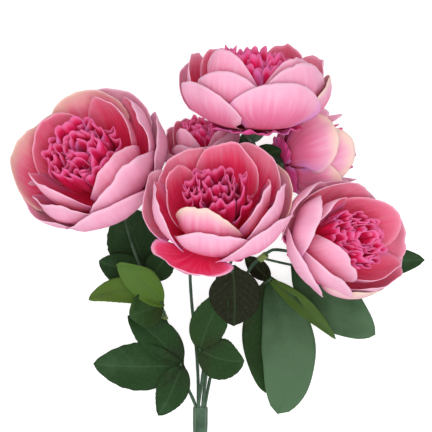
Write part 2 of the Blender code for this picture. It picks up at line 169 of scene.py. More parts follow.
# Photograph's view: straight down on the middle of its frame
VIEW_MIDDLE = Vector((0.0, 0.0, 0.070))
VIEW_WIDTH = 0.3154
VIEW_HEIGHT = 2.0
SENSOR_WIDTH = 36.0
CLIP = (0.05, 20.0)

# Light and floor. A lamp is its name, place, target, size and energy
LAMPS = (
    ("key", (0.12, -0.22, 1.70), (0, 0, 0.05), 0.6, 7.2),
    ("fill", (-0.7, -0.3, 1.5), (0, 0, 0.05), 0.9, 1.4),
)
WORLD_LIGHT = 0.92
WORLD_SEEN = 1.0
FLOOR_REACH = 6.0
FLOOR_DROP = 0.0006
FLOOR_WHITE = 0.66
FLOOR_GLOW = 0.72


@dataclass
class Layer:
    """One fabric disc of a bloom of size 1, as in part.py, with the fine folds that it gets here."""

    name: str
    slot: str
    petals: int
    radius: float
    height: float
    end_turn: float
    overlap: float = 1 / 3
    waist: float = 0.10
    rows: int = 24
    columns: int = 22
    look: str = "guard"


LAYERS = (
    Layer("backing_petals", "petal_magenta", 4, 0.033, 0.0045, 85, overlap=-0.14, waist=0.12, look="sepal"),
    Layer("outer_guard_petals", "petal_pink", 5, 0.0555, 0.0335, 99, look="outer_guard"),
    Layer("inner_guard_petals", "petal_pink", 5, 0.050, 0.037, 107),
    Layer("cup_petals", "petal_rose", 4, 0.041, 0.042, 107, overlap=1 / 15, look="cup"),
    Layer("outer_ruffle_petals", "petal_magenta", 5, 0.024, 0.044, 96, look="ruffle"),
    Layer("inner_ruffle_petals", "petal_magenta", 3, 0.0122, 0.044, 92, look="ruffle"),
)


@dataclass
class Ring:
    """One folded strip of a ruffle: shares of its layer's reach and height, and its lobes and folds."""

    reach: float
    height: float
    hub: float
    lobes: int
    folds: float
    depth: float
    end_turn: float


RUFFLE_RINGS = {
    "outer_ruffle_petals": (
        Ring(1.00, 0.95, 0.0070, 5, 2.5, 0.0024, 97),
        Ring(0.78, 1.02, 0.0066, 5, 2.0, 0.0026, 96),
        Ring(0.56, 1.00, 0.0062, 4, 2.0, 0.0025, 95),
        Ring(0.34, 1.03, 0.0058, 3, 2.0, 0.0022, 94),
    ),
    "inner_ruffle_petals": (
        Ring(1.00, 1.00, 0.0070, 3, 2.0, 0.0018, 92),
        Ring(0.80, 1.02, 0.0050, 3, 1.5, 0.0016, 92),
        Ring(0.45, 0.97, 0.0034, 2, 1.2, 0.0012, 92),
    ),
}


@dataclass
class Bloom:
    """A bloom as in part.py. closed is how far petals curl in, and cream which ones have a cream rim.

    loose is how loose and dark the ruffle is, and pale how pale the petals' roots are: their own colour, with
    painted light that lifts blooms lying in shade.
    """

    name: str
    base: tuple
    axis: tuple
    size: float
    depth: float = 1.0
    oval: tuple = (1.0, 1.0)
    steps: tuple = (0, 0, 1, 2, 1, 0)
    opened: dict = field(default_factory=dict)
    closed: dict = field(default_factory=dict)
    route: tuple = ()
    socket_turn: float = 0.0
    cream: tuple = ()
    loose: float = 0.0
    pale: float = 0.0


BLOOMS = (
    Bloom("left_bloom", (-0.0790, 0.0215, 0.0208), (-0.40, 0.53, 0.75), 1.08,
          closed={("outer_guard_petals", 3): 0.0055, ("outer_guard_petals", 2): 0.0010,
                  ("inner_guard_petals", 3): 0.0020},
          route=((-0.0190, -0.1365, 0.0180), (-0.0277, -0.1095, 0.0200), (-0.0387, -0.0745, 0.0220),
                 (-0.0518, -0.0489, 0.0200), (-0.0640, -0.0190, 0.0120)),
          socket_turn=180, cream=((1, 2), (2, 1), (2, 2)), loose=0.40, pale=0.30),
    Bloom("front_bloom", (0.0030, -0.0135, 0.0920), (-0.06, 0.70, 0.71), 0.96,
          steps=(1, 1, 2, 3, 2, 1), opened={("outer_guard_petals", 3): 24},
          route=((-0.0100, -0.1200, 0.0240), (-0.0060, -0.0900, 0.0380), (0.0040, -0.0520, 0.0600)),
          socket_turn=120, cream=((3, 2), (1, 0)), loose=1.0),
    Bloom("top_bloom", (0.0275, 0.0625, 0.0780), (0.03, 0.97, 0.22), 1.00,
          route=((-0.0070, -0.1150, 0.0210), (-0.0010, -0.0600, 0.0320), (0.0080, -0.0100, 0.0450),
                 (0.0240, 0.0300, 0.0660)),
          socket_turn=60, cream=((1, 0), (2, 1)), loose=0.1),
    Bloom("right_bloom", (0.0725, -0.0237, 0.0610), (0.74, 0.16, 0.65), 0.87, oval=(1.28, 0.92),
          route=((-0.0040, -0.1200, 0.0160), (0.0058, -0.0832, 0.0220), (0.0234, -0.0416, 0.0320),
                 (0.0460, -0.0230, 0.0460)),
          socket_turn=0, cream=((1, 4),), loose=0.08, pale=0.50,
          closed={("outer_guard_petals", 4): 0.0060, ("inner_guard_petals", 4): 0.0030}),
    Bloom("rear_right_bloom", (0.0480, 0.0372, 0.0455), (0.93, 0.27, -0.25), 0.68, depth=1.25,
          route=((-0.0070, -0.1150, 0.0120), (0.0020, -0.0700, 0.0120), (0.0140, -0.0250, 0.0200),
                 (0.0290, 0.0180, 0.0400)),
          socket_turn=300, cream=((1, 0), (1, 4), (2, 4)), pale=0.10),
    Bloom("rear_left_bloom", (-0.0065, 0.0300, 0.0230), (-0.10, 0.90, 0.42), 0.56, depth=1.25,
          route=((-0.0140, -0.1100, 0.0140), (-0.0195, -0.0445, 0.0140), (-0.0150, -0.0060, 0.0120)),
          socket_turn=240, loose=0.15, pale=0.35),
)


@dataclass
class Leaflet:
    """A blade as in part.py. light is how yellow it is, tone how bright, and wave how far it curls."""

    tip: tuple
    width: float
    bow: tuple = (0.0, 0.0, 0.0)
    light: float = 0.0
    # Painted light: besides the blade's own tone, a low tone paints shade on it and a high one paints sheen.
    tone: float = 0.45
    wave: float = 0.0011
    twist: float = 0.0


@dataclass
class LeafSpray:
    name: str
    bloom: str
    segment: int
    joint: tuple
    leaflets: tuple


# Each leaflet's tone paints its light: the leaf under the front bloom is painted in shade, and the brightest
# leaves are painted with sheen.
LEAF_SPRAYS = (
    LeafSpray("low_left_leaves", "left_bloom", 2, (0.0000, 0.0035, 0.0095), (
        Leaflet((-0.0395, 0.0365, -0.0020), 0.028, (0.0040, 0.0040, 0.0040)),
        Leaflet((-0.0655, 0.0000, -0.0090), 0.036, (0.0000, -0.0030, 0.0080)),
        Leaflet((-0.0170, -0.0380, -0.0050), 0.024, (0.0040, 0.0000, 0.0060)),
    )),
    LeafSpray("curled_left_leaves", "left_bloom", 4, (-0.0015, 0.0090, 0.0095), (
        Leaflet((-0.0330, 0.0295, 0.0125), 0.024, (0.0040, 0.0040, 0.0100), 0.8, 0.75, 0.0042, 0.75),
        Leaflet((-0.0235, -0.0085, 0.0085), 0.026, (0.0000, 0.0000, 0.0060), 0.1, 0.4, 0.0020),
        Leaflet((-0.0540, 0.0035, 0.0025), 0.020, (-0.0040, 0.0180, 0.0040), 0.9, 0.75, 0.0036, -1.0),
    )),
    LeafSpray("high_left_leaves", "left_bloom", 5, (-0.0020, 0.0080, -0.0105), (
        Leaflet((-0.0190, 0.0520, -0.0040), 0.044, (0.0000, 0.0000, -0.0020)),
        Leaflet((-0.0380, 0.0140, 0.0020), 0.026, (0.0000, 0.0000, 0.0020)),
        Leaflet((0.0160, 0.0220, 0.0060), 0.022, (0.0000, 0.0000, 0.0020)),
    )),
    LeafSpray("middle_leaves", "front_bloom", 3, (-0.0040, 0.0050, 0.0120), (
        Leaflet((0.0190, 0.0430, 0.0230), 0.027, (-0.0040, 0.0000, 0.0040), 0.05, 0.42),
        Leaflet((0.0330, -0.0085, -0.0030), 0.031, (0.0000, -0.0060, 0.0040), 0.04, 0.40),
    )),
    LeafSpray("under_bloom_leaves", "front_bloom", 7, (0.0080, 0.0090, 0.0105), (
        # Tone 0: a near-black leaf of painted shade under the front bloom.
        Leaflet((0.0010, -0.0430, -0.0140), 0.038, (0.0020, 0.0000, 0.0040), 0.0, 0.0, 0.0016),
    )),
    LeafSpray("low_right_leaves", "right_bloom", 5, (0.0255, 0.0125, 0.0020), (
        Leaflet((-0.0030, -0.0850, -0.0090), 0.036, (-0.0020, 0.0000, 0.0060), 0.05, 0.38),
        Leaflet((0.0060, -0.1000, 0.0030), 0.040, (0.0220, 0.0000, 0.0080), 0.0, 0.95, 0.0016),
        Leaflet((0.0490, -0.0440, 0.0070), 0.013, (0.0040, 0.0020, 0.0040), 0.6, 0.7, 0.0011, 0.5),
        Leaflet((-0.0180, 0.0170, -0.0090), 0.014, (0.0000, 0.0000, -0.0020), 0.0, 0.15),
    )),
    LeafSpray("high_right_leaves", "right_bloom", 7, (0.0235, -0.0065, -0.0110), (
        Leaflet((0.0610, -0.0520, -0.0080), 0.038, (0.0000, -0.0080, 0.0040), 0.0, 0.85),
        Leaflet((0.0980, 0.0040, -0.0100), 0.032, (0.0000, 0.0000, -0.0060)),
    )),
    LeafSpray("top_leaves", "top_bloom", 8, (0.0030, 0.0105, -0.0100), (
        Leaflet((-0.0080, 0.0160, 0.0000), 0.012),
        Leaflet((0.0210, 0.0040, 0.0040), 0.014),
    )),
)


# Mesh helpers

def smoothstep(low, high, value):
    share = np.clip((value - low) / (high - low), 0.0, 1.0)
    return share * share * (3.0 - 2.0 * share)


def ripple(random, value, low, high, count):
    """A smooth irregular wave of the value, from -1 to 1, with frequencies from low to high."""
    total = 0.0
    for _ in range(count):
        total = total + np.sin(value * random.uniform(low, high) + random.uniform(0, 2 * math.pi))
    return total / count ** 0.75 * 0.8


class Sheets:
    """Grids gathered into one mesh, each with points, cloth coordinates in metres and four marks."""

    def __init__(self):
        self.points, self.cloth, self.marks, self.faces = [], [], [], []
        self.count = 0

    def add(self, points, cloth, marks, closed=False):
        rows, columns = points.shape[:2]
        index = np.arange(rows * columns).reshape(rows, columns) + self.count
        if closed:
            index = np.concatenate([index, index[:, :1]], axis=1)
        corners = (index[:-1, :-1], index[:-1, 1:], index[1:, 1:], index[1:, :-1])
        self.faces.append(np.stack(corners, axis=-1).reshape(-1, 4))
        self.points.append(points.reshape(-1, 3))
        self.cloth.append(cloth.reshape(-1, 2))
        self.marks.append(marks.reshape(-1, 4))
        self.count += rows * columns

    def add_rings(self, points, special=0.0):
        """Closed rings of a moulded piece, which need no cloth coordinates and no mark but the last."""
        blank = np.zeros(points.shape[:2])
        marks = np.stack([blank, blank, blank, blank + special], axis=-1)
        self.add(points, np.zeros((*points.shape[:2], 2)), marks, closed=True)

    def mesh(self, name, weld=True):
        points, faces, cloth, marks = (
            np.concatenate(grids) for grids in (self.points, self.faces, self.cloth, self.marks))
        if weld:
            cells = np.round(points / WELD).astype(np.int64)
            _, first, index = np.unique(cells, axis=0, return_index=True, return_inverse=True)
            faces = index.reshape(-1)[faces]
            points, cloth, marks = points[first], cloth[first], marks[first]
        polygons = []
        for face in faces.tolist():
            corners = [corner for place, corner in enumerate(face) if corner != face[place - 1]]
            if len(set(corners)) >= 3:
                polygons.append(corners)
        mesh = bpy.data.meshes.new(name)
        mesh.from_pydata(points.tolist(), [], polygons)
        for label, kind, part, values in (("cloth", "FLOAT2", "vector", cloth),
                                          ("marks", "FLOAT_COLOR", "color", marks)):
            attribute = mesh.attributes.new(label, kind, "POINT")
            attribute.data.foreach_set(part, values.ravel().astype(np.float32))
        mesh.shade_smooth()
        return mesh


def add_piece(name, mesh, materials, node, thickness=0.0):
    """A piece that stands for a CAD node. With a thickness it is a shell, the second material inside."""
    for material in materials:
        mesh.materials.append(material)
    piece = bpy.data.objects.new(name, mesh)
    bpy.context.scene.collection.objects.link(piece)
    if thickness:
        shell = piece.modifiers.new("Cloth thickness", "SOLIDIFY")
        shell.thickness = thickness
        shell.offset = 0.0
        shell.material_offset = 1
    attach(piece, "root")
    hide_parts(node)
    return piece


def placed(points, matrix):
    matrix = np.array(matrix)
    return points @ matrix[:3, :3].T + matrix[:3, 3]


# Blooms

def bloom_matrix(bloom):
    z_axis = Vector(bloom.axis).normalized()
    x_axis = (Vector((1.0, 0.0, 0.0)) - z_axis * z_axis.x).normalized()
    y_axis = z_axis.cross(x_axis)
    turn = Matrix((x_axis, y_axis, z_axis)).transposed()
    place = Matrix.Translation(Vector(bloom.base) - BOTTOM_MIDDLE)
    return place @ turn.to_4x4() @ Matrix.Diagonal((*bloom.oval, 1.0, 1.0))


def bowl(hub, reach, depth, end_turn, rise, along, lift):
    """(radius, height) arrays so far along a bowl from its hub, lifted outwards from it."""
    turn = math.radians(end_turn) * along
    out, up = depth * np.sin(turn), -reach * np.cos(turn)
    size = np.hypot(out, up)
    radius = hub + reach * np.sin(turn) + lift * out / size
    height = rise + depth * (1.0 - np.cos(turn)) + lift * up / size
    return radius, height


def pressed(points):
    """The points with those below the table's surface pushed up on it."""
    above = (points[..., 2] - TABLE) / PRESS
    points[..., 2] = TABLE + PRESS * np.logaddexp(0.0, above)
    return points


def polar(radius, turn, height):
    return np.stack([radius * np.cos(turn), radius * np.sin(turn), height + 0 * turn], axis=-1)


def hub_ring(radius, turn, rise):
    """One row of points round the hub, at the turns of a petal's root."""
    return polar(np.full_like(turn[:1], radius), turn[:1], np.full_like(turn[:1], rise))


def circle(across, other, sides):
    """Unit steps round a circle in the plane of two directions."""
    turns = np.arange(sides) * 2 * math.pi / sides
    return np.cos(turns)[:, None] * np.array(across) + np.sin(turns)[:, None] * np.array(other)


def petal_marks(share, across, tint, special):
    blank = np.zeros_like(share + across)
    return np.stack([blank + share, blank + np.abs(across), blank + tint, blank + special], axis=-1)


def petal_rim(random, across, layer, index):
    """How far along the bowl each column of a petal ends: rounded, with a soft dip and a pinked edge."""
    rim = (1.0 - FINE_TIP_ROUND[layer.look] * np.abs(across) ** TIP_POWER) * PETAL_REACHES[index]
    dip = random.uniform(0.0, 0.05) * np.exp(-((across - random.uniform(-0.4, 0.4)) / 0.22) ** 2)
    rag = SEPAL_PINKING if layer.look == "sepal" else PINKING
    return rim * (1.0 - dip + rag * ripple(random, across, 14, 60, 6))


def tile_lift(bloom, layer, index, share, across, along, random):
    """How far a petal's edges stand off the bowl, to lie over one neighbour and under the other."""
    after = (index + 1) % layer.petals
    first = 1 if (layer.name, index) in bloom.opened else -1
    last = -1 if (layer.name, after) in bloom.opened else 1
    side = np.where(across > 0, last, first)
    edge = smoothstep(0.45, 1.0, np.abs(across))
    lift = smoothstep(*PETAL_GROWTH, along) * TILE_LIFT * side * np.abs(across)
    stand = np.where(across > 0, random.uniform(0.6, 1.6), random.uniform(0.4, 1.3))
    stand = stand * np.where(side > 0, STAND_OVER, STAND_UNDER)
    return lift + side * edge * smoothstep(0.35, 1.0, share) * stand * bloom.size


def relief(bloom, layer, index, share, across, turn, lift, random, disc_random):
    """The petal's lift with its waves, creases, folds and curl added."""
    size = bloom.size
    centre = 1.0 - smoothstep(0.25, 0.6, np.abs(across))
    wave = ripple(disc_random, turn, 4, 13, 4) * WAVE * smoothstep(0.35, 1.0, share)
    belly = random.uniform(-0.4, 1.0) * BELLY * centre * np.sin(math.pi * np.clip(share, 0, 1))
    flare = random.uniform(-0.8, 1.0) * FLARE * centre * smoothstep(0.72, 1.0, share)
    lift = lift + (wave + belly + flare) * size
    rim_curl = smoothstep(0.90, 1.0, share) * random.uniform(-0.2, 0.9) * RIM_CURL
    lift = lift + rim_curl * size
    creases = ripple(random, across + 0.15 * share, 12, 34, 5) * CREASE * smoothstep(0.1, 0.6, share)
    long_folds = ripple(random, across + 0.2 * share, 3, 8, 3) * LONG_FOLD * centre
    long_folds = long_folds * smoothstep(0.15, 0.8, share)
    rim_folds = ripple(random, across, 9, 20, 4) * RIM_FOLD * centre * smoothstep(0.75, 1.0, share)
    lift = lift + (creases + long_folds + rim_folds) * size
    if (layer.name, index) in bloom.opened:
        curl = OPEN_CURL
    else:
        curl = INWARD_CURL[layer.look] * random.uniform(0.6, 1.4)
    curl = curl + bloom.closed.get((layer.name, index), 0.0)
    lift = lift - curl * smoothstep(0.45, 1.05, share) * size
    if layer.look == "sepal":
        crumple = ripple(random, across * 2 + share, 3, 8, 4) * CRUMPLE
        lift = lift + crumple * smoothstep(0.25, 0.9, share) * size
    return lift


def add_petal(sheets, bloom, layer, order, index, random, disc_random):
    rise = FABRIC_THICKNESS / 2 + CLEARANCE + order * DISC_PITCH
    pitch = 2.0 * math.pi / layer.petals
    middle = bloom.steps[order] * STEP_TURN + index * pitch
    size = bloom.size
    across = np.linspace(-1.0, 1.0, layer.columns + 1)[None, :]
    share = np.linspace(0.0, 1.0, layer.rows + 1)[:, None]
    along = share * petal_rim(random, across, layer, index)
    waist = layer.waist * np.sin(math.pi * np.minimum(along / 0.5, 1.0))
    widening = layer.overlap * smoothstep(*PETAL_WIDENING, along)
    half_width = math.pi / layer.petals * (1.0 - waist + widening)
    turn = middle + across * half_width
    lift = np.zeros_like(along)
    if layer.overlap > 0:
        lift = tile_lift(bloom, layer, index, share, across, along, random)
    lift = relief(bloom, layer, index, share, across, turn, lift, random, disc_random)
    reach = layer.radius * size - HUB_RADIUS
    depth = layer.height * size * bloom.depth
    radius, height = bowl(HUB_RADIUS, reach, depth, layer.end_turn, rise, along, lift)
    opening = bloom.opened.get((layer.name, index), 0.0)
    swing = math.radians(opening) * smoothstep(*PETAL_SWING, along)
    out, up = radius - HUB_RADIUS, height - rise
    radius = HUB_RADIUS + out * np.cos(swing) + up * np.sin(swing)
    height = rise + up * np.cos(swing) - out * np.sin(swing)
    points = np.concatenate([hub_ring(PEG_RADIUS + CLEARANCE, turn, rise), hub_ring(HUB_RADIUS, turn, rise),
                             polar(radius, turn, height)[1:]])
    share = np.concatenate([[[HOLE_MARK]], [[0.0]], share[1:]])
    length = share * (reach + depth) * CLOTH_SHARE
    width = across * half_width[-1:] * layer.radius * size * CLOTH_SHARE
    cloth = np.stack([width + 0 * length, length + 0 * across], axis=-1)
    # Painted light: pale lifts the petals toward their tip colour, brightening blooms that lie in shade, over
    # their own paler roots.
    mark = share + bloom.pale * (1.0 - share)
    if opening:
        mark = share * OPEN_COLOUR_SHARE + OPEN_PALE_RIM * smoothstep(0.80, 1.0, share)
    special = 1.0 if (order, index) in bloom.cream else 0.0
    marks = petal_marks(mark, across, random.uniform(0, 1), special)
    sheets.add(pressed(placed(points, bloom_matrix(bloom))), cloth, marks)


def add_ruffle_ring(sheets, bloom, layer, order, number, ring, random):
    """A strip of narrow upright lobes with deep folds."""
    rise = FABRIC_THICKNESS / 2 + CLEARANCE + order * DISC_PITCH + number * RING_STEP
    size = bloom.size
    reach = max((layer.radius * size - HUB_RADIUS) * ring.reach, LEAST_REACH)
    depth = layer.height * size * bloom.depth * ring.height
    pitch = 2.0 * math.pi / ring.lobes
    spin = bloom.steps[order] * STEP_TURN + number * RING_TURN
    across = np.linspace(-1.0, 1.0, RUFFLE_COLUMNS)[None, :]
    share = np.linspace(0.0, 1.0, RUFFLE_ROWS)[:, None]
    down_to_peg = np.concatenate([[[HOLE_MARK]], share])
    shortest = SHORTEST_LOBE - LOOSE_SHORTENING * bloom.loose
    for index in range(ring.lobes):
        phase = random.uniform(0, 2 * math.pi)
        fold = math.pi * ring.folds * across + phase + 0.7 * ripple(random, across, 2, 4, 3)
        scallop = 1.0 - 0.06 * np.cos(fold) ** 2 * random.uniform(0.4, 1.3)
        rim = (1.0 - 0.16 * np.abs(across) ** 4) * random.uniform(shortest, 1.03) * scallop
        uneven = 1.0 + 0.030 * ripple(random, across, 3, 8, 3) + 0.005 * ripple(random, across, 40, 90, 5)
        rim = rim * uneven
        along = share * rim
        half_width = pitch / 2 * (1.0 + 0.04 * smoothstep(0.4, 1.0, along))
        folding = smoothstep(0.10, 0.80, along)
        height_of_fold = ring.depth * size * (1.0 + 0.40 * ripple(random, across, 2, 5, 3))
        lift = folding * height_of_fold * np.sin(fold)
        lift = lift + folding ** 2 * random.uniform(-0.9, 0.7) * (SWAY + LOOSE_SWAY * bloom.loose) * size
        flare = smoothstep(0.75, 1.0, share) * LOBE_FLARE * size
        lift = lift + flare * (0.4 + ripple(random, across, 3, 8, 3))
        lean = -folding * LOOP_LEAN * (1.0 - LOOSE_LEAN_LOSS * bloom.loose)
        lean = lean * pitch / 2 / (ring.folds * math.pi) * np.sin(2 * fold + random.uniform(-0.5, 0.5))
        turn = spin + index * pitch + across * half_width + lean
        radius, height = bowl(ring.hub, reach, depth, ring.end_turn, rise, along, lift)
        points = polar(np.maximum(radius, LEAST_RADIUS), turn, height)
        points = np.concatenate([hub_ring(PEG_RADIUS + CLEARANCE, turn, rise), points])
        width = across * pitch / 2 * (ring.hub + reach)
        cloth = np.stack([width + 0 * down_to_peg, down_to_peg * depth + 0 * width], axis=-1)
        marks = petal_marks(down_to_peg, across, random.uniform(0, 1), bloom.loose)
        sheets.add(placed(points, bloom_matrix(bloom)), cloth, marks)


def make_bloom(number, bloom, cloths):
    for order, layer in enumerate(LAYERS):
        sheets = Sheets()
        own = 100 * number + 10 * order
        if layer.look == "ruffle":
            for place, ring in enumerate(RUFFLE_RINGS[layer.name]):
                random = np.random.default_rng(SEEDS["ruffle"] + own + place)
                add_ruffle_ring(sheets, bloom, layer, order, place, ring, random)
        else:
            for index in range(layer.petals):
                # One wave runs round the whole disc, so each petal draws it from the same seed.
                disc_random = np.random.default_rng(SEEDS["disc"] + 10 * number + order)
                random = np.random.default_rng(SEEDS["petal"] + own + index)
                add_petal(sheets, bloom, layer, order, index, random, disc_random)
        node = f"{bloom.name}_{layer.name}"
        add_piece(f"{node}_cloth", sheets.mesh(node), cloths[layer.look], node, CLOTH)


def make_calyx(bloom, plastic):
    """A turned cup with soft ribs, and the peg of the discs. The profile is radius, height, ribbing."""
    peg_top = len(LAYERS) * DISC_PITCH + PEG_HEAD
    profile = [(POINT_RADIUS, -CALYX_HEIGHT, 0), (CALYX_NECK_RADIUS * 0.9, -CALYX_HEIGHT, 0)]
    for step in range(CALYX_STEPS + 1):
        share = step / CALYX_STEPS
        widening = math.sin(share * math.pi / 2) ** 0.8
        radius = CALYX_NECK_RADIUS + (CALYX_RADIUS - CALYX_NECK_RADIUS) * widening
        profile.append((radius * 0.99, -CALYX_HEIGHT * (1 - share) ** 1.15 - 0.0001 * share, share))
    profile += [(CALYX_RADIUS * 0.97, 0.0, 1), (PEG_RADIUS, 0.0, 0),
                (PEG_RADIUS, peg_top - PEG_HEAD * 0.3, 0), (PEG_RADIUS * 0.8, peg_top, 0),
                (POINT_RADIUS, peg_top, 0)]
    turns = np.arange(CALYX_SIDES) * 2 * math.pi / CALYX_SIDES
    rings = []
    for radius, height, ribbing in profile:
        reach = radius * (1 + CALYX_RIB_DEPTH * ribbing * np.cos(CALYX_RIBS * turns))
        rings.append(polar(reach, turns, np.full(CALYX_SIDES, height)))
    sheets = Sheets()
    sheets.add_rings(placed(np.array(rings), bloom_matrix(bloom)))
    node = f"{bloom.name}_calyx"
    add_piece(f"{node}_moulding", sheets.mesh(node), [plastic], node)


# Stems and handle

def curve_point(before, start, end, after, share):
    """The point so far from start to end on the smooth curve that runs through all four points."""
    return 0.5 * (
        2 * start + (end - before) * share
        + (2 * before - 5 * start + 4 * end - after) * share ** 2
        + (3 * start - before - 3 * end + after) * share ** 3)


def smooth_route(points, count):
    """Points an equal way apart along the smooth curve through the given ones."""
    padded = [points[0] * 2 - points[1], *points, points[-1] * 2 - points[-2]]
    fine = []
    for before, start, end, after in zip(padded, padded[1:], padded[2:], padded[3:]):
        for step in range(ROUTE_STEPS):
            fine.append(curve_point(before, start, end, after, step / ROUTE_STEPS))
    fine.append(points[-1])
    lengths = [0.0]
    for first, second in zip(fine, fine[1:]):
        lengths.append(lengths[-1] + (second - first).length)
    route, index = [], 0
    for step in range(count + 1):
        wanted = lengths[-1] * step / count
        while index < len(fine) - 2 and lengths[index + 1] < wanted:
            index += 1
        span = lengths[index + 1] - lengths[index]
        route.append(fine[index].lerp(fine[index + 1], (wanted - lengths[index]) / span))
    return route


def handle_frame():
    along = (HANDLE_TOP - HANDLE_END).normalized()
    right = along.cross(Vector((0.0, 0.0, 1.0))).normalized()
    return along, right, right.cross(along)


def socket_centre(bloom):
    _, right, up = handle_frame()
    turn = math.radians(bloom.socket_turn)
    return HANDLE_TOP + STEM_RING_RADIUS * (right * math.cos(turn) + up * math.sin(turn))


def stem_route(bloom):
    along = handle_frame()[0]
    axis = Vector(bloom.axis).normalized()
    mouth = socket_centre(bloom)
    top = Vector(bloom.base) - axis * (CALYX_HEIGHT + CLEARANCE)
    bottom = mouth - along * (SOCKET_DEPTH - CLEARANCE)
    chosen = [mouth, *(Vector(point) for point in bloom.route), top - axis * STEM_LEAD]
    return [bottom, *smooth_route(chosen, STEM_SEGMENTS), top]


def tube(points, radii, sides):
    """Rings of a round tube through the points, closed at both ends."""
    across = (points[1] - points[0]).orthogonal().normalized()
    rings = []
    for index, point in enumerate(points):
        along = (points[min(index + 1, len(points) - 1)] - points[max(index - 1, 0)]).normalized()
        across = (across - along * across.dot(along)).normalized()
        rings.append(np.array(point) + radii[index] * circle(across, along.cross(across), sides))
    rings = [np.tile(np.array(points[0]), (sides, 1)), *rings, np.tile(np.array(points[-1]), (sides, 1))]
    return np.array(rings) - np.array(BOTTOM_MIDDLE)


def make_stem(number, bloom, plastic):
    """The CAD stem's own points, joined nearly straight, with each corner rounded."""
    random = np.random.default_rng(SEEDS["stem"] + number)
    coarse = stem_route(bloom)
    padded = [coarse[0], *coarse, coarse[-1]]
    fine = [coarse[0]]
    for before, start, end, after in zip(padded, padded[1:], padded[2:], padded[3:]):
        for step in range(1, STEM_STEPS + 1):
            share = step / STEM_STEPS
            curve = curve_point(before, start, end, after, share)
            fine.append(curve.lerp(start.lerp(end, share), STEM_STRAIGHTNESS))
    radii = []
    for index in range(len(fine)):
        unevenness = math.sin(index * 0.9 + random.uniform(0, 0.4))
        radii.append(STEM_RADIUS * STEM_FIT * (1 + STEM_UNEVENNESS * unevenness))
    sheets = Sheets()
    sheets.add_rings(tube(fine, radii, STEM_SIDES))
    node = f"{bloom.name}_stem"
    add_piece(f"{node}_moulding", sheets.mesh(node), [plastic], node)


def make_handle(plastic):
    """The handle's lobed loft, closed by a flat face at each end. The stems run into its upper one."""
    _, right, up = handle_frame()
    sections = ((0.0, HANDLE_END_RADIUS, 0.0), (0.55, HANDLE_END_RADIUS, 0.2),
                (0.86, HANDLE_RADIUS, 0.8), (1.0, HANDLE_RADIUS * 0.98, 1.0))
    places, radii, lobings = zip(*sections)
    turns = np.arange(HANDLE_SIDES) * 2 * math.pi / HANDLE_SIDES
    ends = [np.array(point - BOTTOM_MIDDLE) for point in (HANDLE_END, HANDLE_TOP)]
    rings = [np.tile(ends[0], (HANDLE_SIDES, 1))]
    for share in np.concatenate([np.linspace(0, HANDLE_RIM, HANDLE_LEVELS), [1.0]]):
        radius = np.interp(share, places, radii)
        lobing = np.interp(share, places, lobings)
        radius *= 1 - 0.06 * smoothstep(HANDLE_RIM, 1.0, share) - 0.05 * (1 - smoothstep(0.0, 0.01, share))
        reach = radius + HANDLE_LOBE * lobing * np.cos(len(BLOOMS) * turns)
        centre = np.array(HANDLE_END.lerp(HANDLE_TOP, share) - BOTTOM_MIDDLE)
        rings.append(centre + reach[:, None] * circle(right, up, HANDLE_SIDES))
    rings.append(np.tile(ends[1], (HANDLE_SIDES, 1)))
    sheets = Sheets()
    sheets.add_rings(np.array(rings))
    mesh = sheets.mesh("stem_handle_fine")
    piece = add_piece("stem_handle_moulding", mesh, [plastic], "stem_handle")
    piece.data.set_sharp_from_angle(angle=math.radians(50))


# Leaves

def leaflet_grid(joint, leaflet, random):
    """Points, cloth coordinates and marks of a blade, bent along its midrib and a little folded."""
    tip = joint + Vector(leaflet.tip)
    middle = joint.lerp(tip, 0.5) + Vector(leaflet.bow)
    length = (tip - joint).length
    across = np.linspace(-1.0, 1.0, LEAF_COLUMNS + 1)
    blunt = leaflet.width >= BROAD_LEAF or leaflet.light >= YELLOW_LEAF
    bluntness, widest = BLUNT_OUTLINE if blunt else POINTED_OUTLINE
    points, cloth, marks = [], [], []
    # Painted light: the tone, written into the marks, sets the leaf's painted shade and painted sheen.
    tone = leaflet.tone + random.uniform(-0.06, 0.06)
    wave_seed = random.integers(1, 10 ** 6)
    for row in range(LEAF_ROWS + 1):
        share = row / LEAF_ROWS
        centre = joint * (1 - share) ** 2 + middle * 2 * share * (1 - share) + tip * share ** 2
        ahead = ((middle - joint) * (1 - share) + (tip - middle) * share).normalized()
        aside = ahead.cross(Vector((0.0, 0.0, 1.0))).normalized()
        over = aside.cross(ahead).normalized()
        half = 0.5 * leaflet.width * max(0.02, math.sin(math.pi * share ** widest) ** bluntness)
        if share < 0.1:
            half = max(half, 0.5 * leaflet.width * LEAF_BASE_SHARE * (1 - share * 3))
        if row == LEAF_ROWS:
            half = LEAF_POINT
        if row == 0:
            centre = centre - ahead * LEAF_ROOT
        teeth = np.sin(share * length / SERRATION_PITCH * 2 * math.pi)
        serration = 1 + SERRATION * teeth * smoothstep(0.25, 0.6, share)
        reach = across * half * np.where(np.abs(across) > 0.9, serration, 1.0)
        waves = np.random.default_rng(wave_seed)
        sink = half * LEAF_FOLD * (1 - np.abs(across)) ** 1.3
        curl = ripple(waves, share * 4 + across * 1.2, 1, 3, 3) * leaflet.wave * np.abs(across)
        vein = np.sin((share * length - np.abs(reach) * VEIN_SLANT) / VEIN_PITCH * 2 * math.pi)
        up = -sink + curl + VEIN_RELIEF * vein * (np.abs(across) * (1 - np.abs(across)) * 4)
        turned = leaflet.twist * float(smoothstep(0.15, 0.95, share))
        side = reach * math.cos(turned) - up * math.sin(turned)
        up = reach * math.sin(turned) + up * math.cos(turned)
        points.append(np.array(centre) + side[:, None] * np.array(aside) + up[:, None] * np.array(over))
        cloth.append(np.stack([reach, np.full_like(reach, share * length)], axis=-1))
        marks.append(np.stack([np.full_like(reach, share), np.abs(across), np.full_like(reach, tone),
                               np.full_like(reach, leaflet.light)], axis=-1))
    return np.array(points) - np.array(BOTTOM_MIDDLE), np.array(cloth), np.array(marks)


